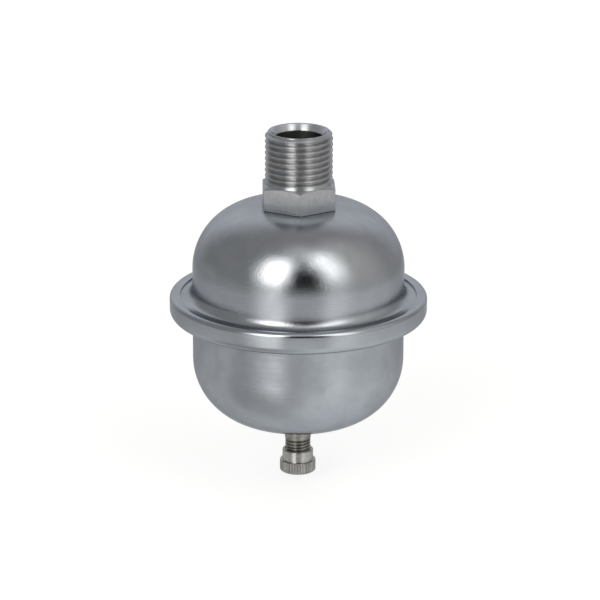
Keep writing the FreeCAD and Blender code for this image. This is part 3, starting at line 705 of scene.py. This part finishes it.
def finish_metal(tree, place, tint, roughness, stretch, relief, relief_mm, turn=0.25):
    """Ends a metal's tree. Highlights stretch along the axis, or round it with no turn.

    Steel and nickel hardly brighten at a grazing view, so the edge tint stays below white."""
    bump = node(tree, "ShaderNodeBump", {"Height": relief, "Distance": relief_mm * MM})
    around = node(tree, "ShaderNodeVectorMath", {0: (0, 0, 1), 1: place},
                  operation="CROSS_PRODUCT")
    tangent = node(tree, "ShaderNodeVectorTransform", {0: around.outputs[0]},
                   vector_type="VECTOR", convert_from="OBJECT", convert_to="WORLD")
    surface = node(tree, "ShaderNodeBsdfPrincipled", {
        "Base Color": tint, "Metallic": 1.0, "Roughness": roughness, "Anisotropic": stretch,
        "Anisotropic Rotation": turn, "Specular Tint": linear("#c4c5c7"),
        "Normal": bump.outputs[0], "Tangent": tangent.outputs[0]})
    node(tree, "ShaderNodeOutputMaterial", {"Surface": surface.outputs[0]})


def cloudy(tree, place, size_mm, plain, worn):
    """A tint that drifts between two colours, and the drift itself."""
    clouds = node(tree, "ShaderNodeTexNoise", {
        "Vector": place, "Scale": 1 / (size_mm * MM), "Detail": 4.0, "Roughness": 0.55})
    share = node(tree, "ShaderNodeMapRange", {
        "Value": clouds.outputs["Fac"], "From Min": 0.35, "From Max": 0.65},
        interpolation_type="SMOOTHSTEP")
    tint = node(tree, "ShaderNodeMix", {
        "Factor": share.outputs[0], 6: linear(worn), 7: linear(plain)}, data_type="RGBA")
    return tint.outputs[2], share.outputs[0]


def drawn_satin(name):
    """Stainless sheet drawn in a smooth die: a soft mirror, broken up by a fine grain.

    Its foot was rubbed on the die's edge, which leaves it duller towards the flange."""
    material, tree, place = new_material(name)
    tint, share = cloudy(tree, place, size_mm=9.0, plain="#b2b7be", worn="#abb0b6")
    gloss = node(tree, "ShaderNodeMapRange", {"Value": share, "To Min": 0.175, "To Max": 0.145})
    height = node(tree, "ShaderNodeSeparateXYZ", {0: place}).outputs[2]
    rubbed = node(tree, "ShaderNodeMapRange", {
        "Value": height, "From Min": RUBBED_FROM * MM, "From Max": RUBBED_TO * MM,
        "To Min": 0.0, "To Max": 0.09})
    gloss = node(tree, "ShaderNodeMath", {0: gloss.outputs[0], 1: rubbed.outputs[0]},
                 operation="ADD")
    grain = node(tree, "ShaderNodeTexNoise", {
        "Vector": place, "Scale": 1 / (0.38 * MM), "Detail": 1.0, "Roughness": 0.6})
    finish_metal(tree, place, tint, roughness=gloss.outputs[0], stretch=0.4,
                 relief=grain.outputs["Fac"], relief_mm=0.055)
    return material


def drawn_matt(name):
    """The same sheet after a deeper draw: orange peel and clouds blur what it mirrors.

    The punch's end leaves it smoother round the valve, where it mirrors the stem."""
    material, tree, place = new_material(name)
    tint, share = cloudy(tree, place, size_mm=8.0, plain="#b4bac1", worn="#adb3ba")
    gloss = node(tree, "ShaderNodeMapRange", {"Value": share, "To Min": 0.37, "To Max": 0.29})
    flat = node(tree, "ShaderNodeVectorMath", {0: place, 1: (1, 1, 0)}, operation="MULTIPLY")
    off_axis = node(tree, "ShaderNodeVectorMath", {0: flat.outputs[0]}, operation="LENGTH")
    pressed = node(tree, "ShaderNodeMapRange", {
        "Value": off_axis.outputs["Value"], "From Min": PRESSED_INSIDE * MM,
        "From Max": PRESSED_OUTSIDE * MM, "To Min": 0.25, "To Max": 1.0})
    gloss = node(tree, "ShaderNodeMath", {0: gloss.outputs[0], 1: pressed.outputs[0]},
                 operation="MULTIPLY")
    grain = node(tree, "ShaderNodeTexNoise", {
        "Vector": place, "Scale": 1 / (0.5 * MM), "Detail": 3.0, "Roughness": 0.6})
    dents = node(tree, "ShaderNodeTexNoise", {
        "Vector": place, "Scale": 1 / (6 * MM), "Detail": 2.0})
    heavy = node(tree, "ShaderNodeMath", {0: dents.outputs["Fac"], 1: 3.6}, operation="MULTIPLY")
    stretched = node(tree, "ShaderNodeMapping", {"Vector": place, "Scale": (0.05, 0.05, 1.0)})
    lines = node(tree, "ShaderNodeTexNoise", {
        "Vector": stretched.outputs[0], "Scale": 1 / (0.9 * MM), "Detail": 3.0})
    fine = node(tree, "ShaderNodeMath", {
        0: lines.outputs["Fac"], 1: 2.0, 2: grain.outputs["Fac"]}, operation="MULTIPLY_ADD")
    relief = node(tree, "ShaderNodeMath", {0: fine.outputs[0], 1: heavy.outputs[0]},
                  operation="ADD")
    finish_metal(tree, place, tint, roughness=gloss.outputs[0], stretch=0.4,
                 relief=relief.outputs[0], relief_mm=0.025)
    return material


def turned_metal(name, plain, worn, roughness, upright, line_mm=0.25, line_deep=0.01,
                 cloud_mm=2.5):
    """Turned on a lathe: fine rings draw each highlight out into an upright streak."""
    material, tree, place = new_material(name)
    tint, share = cloudy(tree, place, cloud_mm, plain, worn)
    gloss = node(tree, "ShaderNodeMapRange", {
        "Value": share, "To Min": roughness * 1.1, "To Max": roughness * 0.93})
    stretched = node(tree, "ShaderNodeMapping", {"Vector": place, "Scale": (0.08, 0.08, 1.0)})
    rings = node(tree, "ShaderNodeTexNoise", {
        "Vector": stretched.outputs[0], "Scale": 1 / (line_mm * MM), "Detail": 1.0})
    finish_metal(tree, place, tint, roughness=gloss.outputs[0], stretch=upright,
                 relief=rings.outputs["Fac"], relief_mm=line_deep)
    return material


def drawn_flats(name):
    """Flats of the cold-drawn bar: die lines along it spread light sideways, and tool nicks,
    cut in as relief, with painted shade darkening their tint.
    """
    material, tree, place = new_material(name)
    tint, _ = cloudy(tree, place, size_mm=1.5, plain="#cfd3d7", worn="#c5c9cd")
    stretched = node(tree, "ShaderNodeMapping", {"Vector": place, "Scale": (1.0, 1.0, 0.06)})
    scratches = node(tree, "ShaderNodeTexNoise", {
        "Vector": stretched.outputs[0], "Scale": 1 / (0.35 * MM), "Detail": 2.0})
    facing = math.radians(HEX_TURN - 30)
    out = (math.sin(facing), -math.cos(facing), 0)
    along = (math.cos(facing), math.sin(facing), 0)
    across = node(tree, "ShaderNodeVectorMath", {0: place, 1: along}, operation="DOT_PRODUCT")
    beside = node(tree, "ShaderNodeMath", {
        0: across.outputs["Value"], 1: NICK_PITCH / 2 * MM}, operation="PINGPONG")
    nick = node(tree, "ShaderNodeMapRange", {
        "Value": beside.outputs[0], "From Min": NICK_HALF * MM, "From Max": NICK_ROOT * MM})
    depth = node(tree, "ShaderNodeVectorMath", {0: place, 1: out}, operation="DOT_PRODUCT")
    on_face = node(tree, "ShaderNodeMath", {
        0: depth.outputs["Value"], 1: (HEX_FLATS / 2 - 0.1) * MM}, operation="GREATER_THAN")
    height = node(tree, "ShaderNodeSeparateXYZ", {0: place}).outputs[2]
    low = node(tree, "ShaderNodeMapRange", {
        "Value": height, "From Min": NICK_END * MM, "From Max": NICK_TOP * MM})
    high = node(tree, "ShaderNodeMath", {0: height, 1: NICK_FOOT * MM},
                operation="GREATER_THAN")
    band = node(tree, "ShaderNodeMath", {0: high.outputs[0], 1: low.outputs[0]},
                operation="MULTIPLY")
    row = node(tree, "ShaderNodeMath", {0: on_face.outputs[0], 1: band.outputs[0]},
               operation="MULTIPLY")
    nicks = node(tree, "ShaderNodeMath", {0: nick.outputs[0], 1: row.outputs[0]},
                 operation="MULTIPLY").outputs[0]
    # Painted shade: the nicks' tint is darkened, on top of their real relief
    dark = node(tree, "ShaderNodeMath", {0: nicks, 1: 0.8}, operation="MULTIPLY")
    nicked_tint_painted_shade = node(tree, "ShaderNodeMix", {
        "Factor": dark.outputs[0], 6: tint, 7: linear("#3c3e41")}, data_type="RGBA")
    relief = node(tree, "ShaderNodeMath", {0: scratches.outputs["Fac"], 1: nicks},
                  operation="SUBTRACT")
    finish_metal(tree, place, nicked_tint_painted_shade.outputs[2], roughness=0.54, stretch=0.6,
                 relief=relief.outputs[0], relief_mm=0.025, turn=0.0)
    return material


def rubber(name, plain, bloomed, roughness):
    """Moulded rubber or soft plastic: one colour with a faint bloom and a fine dull grain."""
    material, tree, place = new_material(name)
    tint, _ = cloudy(tree, place, size_mm=4.0, plain=plain, worn=bloomed)
    grain = node(tree, "ShaderNodeTexNoise", {
        "Vector": place, "Scale": 1 / (0.2 * MM), "Detail": 2.0})
    bump = node(tree, "ShaderNodeBump", {"Height": grain.outputs["Fac"], "Distance": 0.02 * MM})
    surface = node(tree, "ShaderNodeBsdfPrincipled", {
        "Base Color": tint, "Roughness": roughness, "Normal": bump.outputs[0]})
    node(tree, "ShaderNodeOutputMaterial", {"Surface": surface.outputs[0]})
    return material


drawn_stainless = drawn_satin("drawn_satin_stainless")
matt_stainless = drawn_matt("drawn_matt_stainless")
# The seaming rollers burnish the rim, and leave fine rings round it
rolled_rim = turned_metal("rolled_stainless_rim", "#b1b7bd", "#acb2b8",
                          roughness=0.2, upright=0.55, line_mm=0.5, line_deep=0.02, cloud_mm=12.0)
# The fitting's other faces show the lathe's feed, so they shine less than the shells
turned_stainless = turned_metal("turned_stainless_bar", "#b3b8bd", "#abb0b5",
                                roughness=0.3, upright=0.9)
bar_flats = drawn_flats("cold_drawn_bar_flats")
# A cut thread is smooth along its flanks, so each crest glints and each groove stays dark.
# Its tint is a little lighter than the fitting's: a painted highlight that brightens the glints.
cut_flanks_lightened = turned_metal("cut_stainless_thread_painted_highlight", "#bfc1c3", "#b3b4b6",
                          roughness=0.34, upright=0.975, line_mm=0.3, line_deep=0.001)
# The countersink was cut last, with a sharp tool: two bright bars across it. Its tint is
# lighter than the fitting's, a painted highlight over the cone that brightens the bars.
countersunk_lightened = turned_metal("countersunk_stainless_painted_highlight", "#d2d6dc", "#c8ccd2",
                           roughness=0.31, upright=0.91, line_mm=0.3, line_deep=0.001)
# Inside the drill's bore the steel is rough, and its dark tint is painted shade in the deep bore
shaded_bore_stainless = turned_metal("drilled_bore_painted_shade", "#54544f", "#474743",
                                 roughness=0.5, upright=0.3, line_mm=0.5)
# Nickel over turned brass: a warm, slightly dull grey
plated_brass = turned_metal("nickel_plated_brass", "#b6b6b3", "#a9a9a6",
                            roughness=0.24, upright=0.97, line_deep=0.003, cloud_mm=1.2)
# The knurling wheel presses the ribs duller than the plain part above, and their darker
# tint is painted shade of the grooves
knurled_nickel_shaded = turned_metal("pressed_nickel_knurl_painted_shade", "#a1a19f", "#949492",
                              roughness=0.3, upright=0.93)
# The stem is thinly plated, and its thread has worn through to a browner grey
stem_nickel = turned_metal("worn_nickel_stem", "#a5a39e", "#8b8882",
                           roughness=0.3, upright=0.95)
# The valve core is turned from bare brass, yellow beside the nickel
plain_brass = turned_metal("turned_brass", "#d8b56b", "#c8a35c",
                           roughness=0.28, upright=0.5)
# Drawn wire is smooth, with its streaks along the wire too fine to see
spring_wire = turned_metal("drawn_spring_wire", "#c2c4c6", "#b0b2b5",
                           roughness=0.3, upright=0.0, line_mm=0.1)
butyl = rubber("moulded_butyl_rubber", "#202022", "#2b2b2d", roughness=0.6)
nitrile = rubber("nitrile_seal_rubber", "#191919", "#232324", roughness=0.5)
# The core's sealing cone is a soft red plastic, a little glossier than the rubber
seal_plastic = rubber("soft_sealing_plastic", "#8c2b25", "#a3372f", roughness=0.45)


def use_finish(piece, material, chosen):
    """Gives the faces that chosen accepts, by centre and normal, a finish of their own."""
    piece.data.materials.append(material)
    slot = len(piece.data.materials) - 1
    for face in piece.data.polygons:
        if chosen(face.center / MM, face.normal):
            face.material_index = slot


# Where each finish lies on its piece

def on_flat(centre, normal):
    return (HEX_BOTTOM < centre.z < HEX_TOP and abs(normal.z) < 0.2
            and math.hypot(centre.x, centre.y) > HEX_LAND)


def on_thread(centre, normal):
    return (THREAD_FOOT - 0.1 < centre.z < THREAD_LENGTH - TIP_CHAMFER
            and centre.x * normal.x + centre.y * normal.y > 0)


def in_mouth(centre, normal):
    return (centre.z > THREAD_LENGTH - MOUTH_DEPTH + 0.1 and normal.z > 0.3
            and centre.x * normal.x + centre.y * normal.y < 0)


def on_knurl(centre, normal):
    return centre.z < CAP_FLANGE_TOP - 0.02 and math.hypot(centre.x, centre.y) > CAP_RADIUS + 0.3


def on_rim(centre, normal):
    return centre.z > RIM_BOTTOM + 0.3 and math.hypot(centre.x, centre.y) > LIP_RADIUS - 0.1


def in_bore(centre, normal):
    return (centre.z < THREAD_LENGTH - MOUTH_DEPTH - 0.1
            and centre.x * normal.x + centre.y * normal.y <= 0
            and math.hypot(centre.x, centre.y) < BORE_RADIUS + 0.1)


# Putting the pieces on their bodies

def dress(piece, body, material, slot, *replaced):
    """Gives a piece its material, puts it on its body and hides the frame's pieces it replaces."""
    piece.data.materials.clear()
    piece.data.materials.append(material)
    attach(piece, body)
    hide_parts(*replaced)


cut_thread = thread_tree()
press_knurl = knurl_tree()
fitting = make_inlet_fitting(turned_stainless, cut_thread)
dress(fitting, "vessel", turned_stainless, "turned_steel", "inlet_fitting")
use_finish(fitting, bar_flats, on_flat)
use_finish(fitting, cut_flanks_lightened, on_thread)
use_finish(fitting, shaded_bore_stainless, in_bore)
use_finish(fitting, countersunk_lightened, in_mouth)
dress(make_upper_shell(), "vessel", drawn_stainless, "drawn_steel", "upper_shell")
lower_shell = make_lower_shell()
dress(lower_shell, "vessel", matt_stainless, "matt_steel", "lower_shell")
use_finish(lower_shell, rolled_rim, on_rim)
stem = make_valve_stem(stem_nickel, cut_thread)
dress(stem, "vessel", stem_nickel, "nickel_brass", "valve_stem")
cap = make_valve_cap(plated_brass, press_knurl)
dress(cap, "cap", plated_brass, "cap_nickel", "valve_cap")
use_finish(cap, knurled_nickel_shaded, on_knurl)

# Two pieces bend between the bodies in use, and are put on neither: the rubber dome, and the
# spring of the core
diaphragm = make_diaphragm()
diaphragm.data.materials.append(butyl)
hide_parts("diaphragm")
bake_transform(diaphragm)

spring = make_core_spring()
spring.data.materials.append(spring_wire)
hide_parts("core_spring")
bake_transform(spring)

# The other hidden pieces keep the frame's own shapes
for name, material in (
        ("stem_gasket", nitrile), ("core_swivel", plain_brass), ("core_body", plain_brass),
        ("core_gasket", seal_plastic), ("core_pin", plain_brass), ("core_cup", plain_brass),
        ("core_seal", nitrile), ("cap_seal", nitrile)):
    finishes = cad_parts[name].data.materials
    finishes.clear()
    finishes.append(material)


# Studio

def soft_patch(tree, directions, sides):
    """A soft-edged patch of the sky. Each side is a pair of angles along its direction:
    where the patch starts, and where it is full."""
    share = 1.0
    for direction, (start, full) in zip(directions, sides):
        edge = node(tree, "ShaderNodeMapRange", {
            "Value": direction, "From Min": math.radians(start), "From Max": math.radians(full)},
            interpolation_type="SMOOTHSTEP")
        share = node(tree, "ShaderNodeMath", {0: share, 1: edge.outputs[0]},
                     operation="MULTIPLY").outputs[0]
    return share


def make_world():
    """A dim room: white paper behind, a glow above and beside, two softboxes and the camera."""
    world = bpy.data.worlds.new("studio")
    bpy.context.scene.world = world
    world.use_nodes = True
    tree = world.node_tree
    tree.nodes.clear()
    direction = node(tree, "ShaderNodeTexCoord").outputs["Generated"]
    x, y, z = node(tree, "ShaderNodeSeparateXYZ", {0: direction}).outputs
    toward = node(tree, "ShaderNodeMath", {0: y, 1: -1.0}, operation="MULTIPLY")
    azimuth = node(tree, "ShaderNodeMath", {0: x, 1: toward.outputs[0]},
                   operation="ARCTAN2").outputs[0]
    elevation = node(tree, "ShaderNodeMath", {0: z}, operation="ARCSINE").outputs[0]
    side = node(tree, "ShaderNodeMapRange", {"Value": x, "From Min": -0.8, "From Max": 0.8})
    room = node(tree, "ShaderNodeMix", {
        "Factor": side.outputs[0], 6: linear("#9b9a99"), 7: linear("#a9a7a6")}, data_type="RGBA")
    around = node(tree, "ShaderNodeMath", {0: azimuth}, operation="ABSOLUTE").outputs[0]
    papered = soft_patch(tree, (around, elevation), WHITE_PAPER)
    studio = node(tree, "ShaderNodeMix", {
        "Factor": papered, 6: room.outputs[2], 7: linear("#eeeef0")}, data_type="RGBA").outputs[2]
    directions = (azimuth, azimuth, elevation, elevation)
    lights = ((OVERHEAD_GLOW, OVERHEAD_LEVEL), (SIDE_GLOW, SIDE_LEVEL),
              (LEFT_SOFTBOX, LEFT_LEVEL), (RIGHT_SOFTBOX, RIGHT_LEVEL))
    for window, level in lights:
        share = soft_patch(tree, directions, window)
        colour = [level * part for part in LAMP_WARMTH] + [1.0]
        studio = node(tree, "ShaderNodeMix", {"Factor": share, 6: studio, 7: colour},
                      data_type="RGBA").outputs[2]
    lens = soft_patch(tree, directions, DARK_LENS)
    studio = node(tree, "ShaderNodeMix", {
        "Factor": lens, 6: studio, 7: linear("#080b14")}, data_type="RGBA").outputs[2]
    background = node(tree, "ShaderNodeBackground", {"Color": studio, "Strength": 1.0})
    node(tree, "ShaderNodeOutputWorld", {"Surface": background.outputs[0]})


def spot(tree, place, middle, edge, levels, narrow=1.0, blend="LINEAR"):
    """A round spot on the floor: a level inside its edge, fading to another outside it."""
    offset = node(tree, "ShaderNodeVectorMath", {
        0: place, 1: (middle[0] * MM, middle[1] * MM, FLOOR * MM)}, operation="SUBTRACT")
    drawn_in = node(tree, "ShaderNodeVectorMath", {0: offset.outputs[0], 1: (narrow, 1, 1)},
                    operation="MULTIPLY")
    away = node(tree, "ShaderNodeVectorMath", {0: drawn_in.outputs[0]}, operation="LENGTH")
    return node(tree, "ShaderNodeMapRange", {
        "Value": away.outputs["Value"], "From Min": edge[0] * MM, "From Max": edge[1] * MM,
        "To Min": levels[0], "To Max": levels[1]}, interpolation_type=blend).outputs[0]


def make_floor():
    """White acrylic sheet, lifted to white where it is seen, with the object's faint shadow.

    Mirrored, it glows brightest in a painted pool of light in front of the object, to its
    right, and dimmer in a painted shade to its left and far away."""
    half = FLOOR_HALF * MM
    corners = [(x * half, y * half, FLOOR * MM) for x, y in ((-1, -1), (1, -1), (1, 1), (-1, 1))]
    mesh = bpy.data.meshes.new("floor")
    mesh.from_pydata(corners, [], [(0, 1, 2, 3)])
    floor = bpy.data.objects.new("floor", mesh)
    bpy.context.scene.collection.objects.link(floor)
    material, tree, place = new_material("white_acrylic_sheet")
    path = node(tree, "ShaderNodeLightPath")
    mirrored = node(tree, "ShaderNodeMath", {
        0: path.outputs["Is Glossy Ray"], 1: path.outputs["Is Transmission Ray"]},
        operation="MAXIMUM")
    seen = node(tree, "ShaderNodeMath", {
        0: path.outputs["Is Camera Ray"], 1: mirrored.outputs[0]}, operation="MAXIMUM")
    # Painted light: a pool of light in the mirrored glow, dimmed by a painted shade beside it
    pool = spot(tree, place, PAINTED_POOL_MIDDLE, PAINTED_POOL_EDGE, PAINTED_POOL_LEVELS, narrow=PAINTED_POOL_NARROW)
    painted_shade_share = spot(tree, place, PAINTED_SHADE_MIDDLE, PAINTED_SHADE_EDGE, PAINTED_SHADE_LEVELS, blend="SMOOTHSTEP")
    pool = node(tree, "ShaderNodeMath", {0: pool, 1: painted_shade_share}, operation="MULTIPLY")
    lift = node(tree, "ShaderNodeMix", {
        "Factor": path.outputs["Is Camera Ray"], 2: pool.outputs[0], 3: SEEN_LEVEL},
        data_type="FLOAT")
    glow = node(tree, "ShaderNodeMath", {0: seen.outputs[0], 1: lift.outputs[0]},
                operation="MULTIPLY")
    paper = node(tree, "ShaderNodeMix", {
        "Factor": seen.outputs[0], 6: linear("#f4f4f4"), 7: linear("#a0a0a0")},
        data_type="RGBA")
    # Seen directly the sheet stays plain, and it shines only in what the metal mirrors
    gloss = node(tree, "ShaderNodeMath", {0: mirrored.outputs[0], 1: 0.5}, operation="MULTIPLY")
    sheet = node(tree, "ShaderNodeBsdfPrincipled", {
        "Base Color": paper.outputs[2], "Roughness": 0.15, "IOR": 1.49,
        "Specular IOR Level": gloss.outputs[0], "Emission Color": (1, 1, 1, 1),
        "Emission Strength": glow.outputs[0]})
    node(tree, "ShaderNodeOutputMaterial", {"Surface": sheet.outputs[0]})
    mesh.materials.append(material)


def make_camera():
    """The photograph's view, from in front and a little above."""
    data = bpy.data.cameras.new("camera")
    data.sensor_width = SENSOR
    data.lens = FOCAL_PIXELS / FRAME_PIXELS * SENSOR
    data.shift_x = (FRAME_PIXELS / 2 - AXIS_PIXEL) / FRAME_PIXELS
    data.clip_start = 0.05
    data.clip_end = 50.0
    camera = bpy.data.objects.new("camera", data)
    bpy.context.scene.collection.objects.link(camera)
    back = towards(0, CAMERA_ELEVATION)
    camera.rotation_mode = "QUATERNION"
    roll = Matrix.Rotation(math.radians(CAMERA_ROLL), 3, "Z")
    aim = back.to_track_quat("Z", "Y").to_matrix() @ roll
    camera.rotation_quaternion = aim.to_quaternion()
    camera.location = Vector((0, 0, CAMERA_TARGET * MM)) + back * CAMERA_DISTANCE * MM
    bpy.context.scene.camera = camera


make_world()
make_floor()
make_camera()
bpy.context.scene.view_settings.view_transform = "Standard"
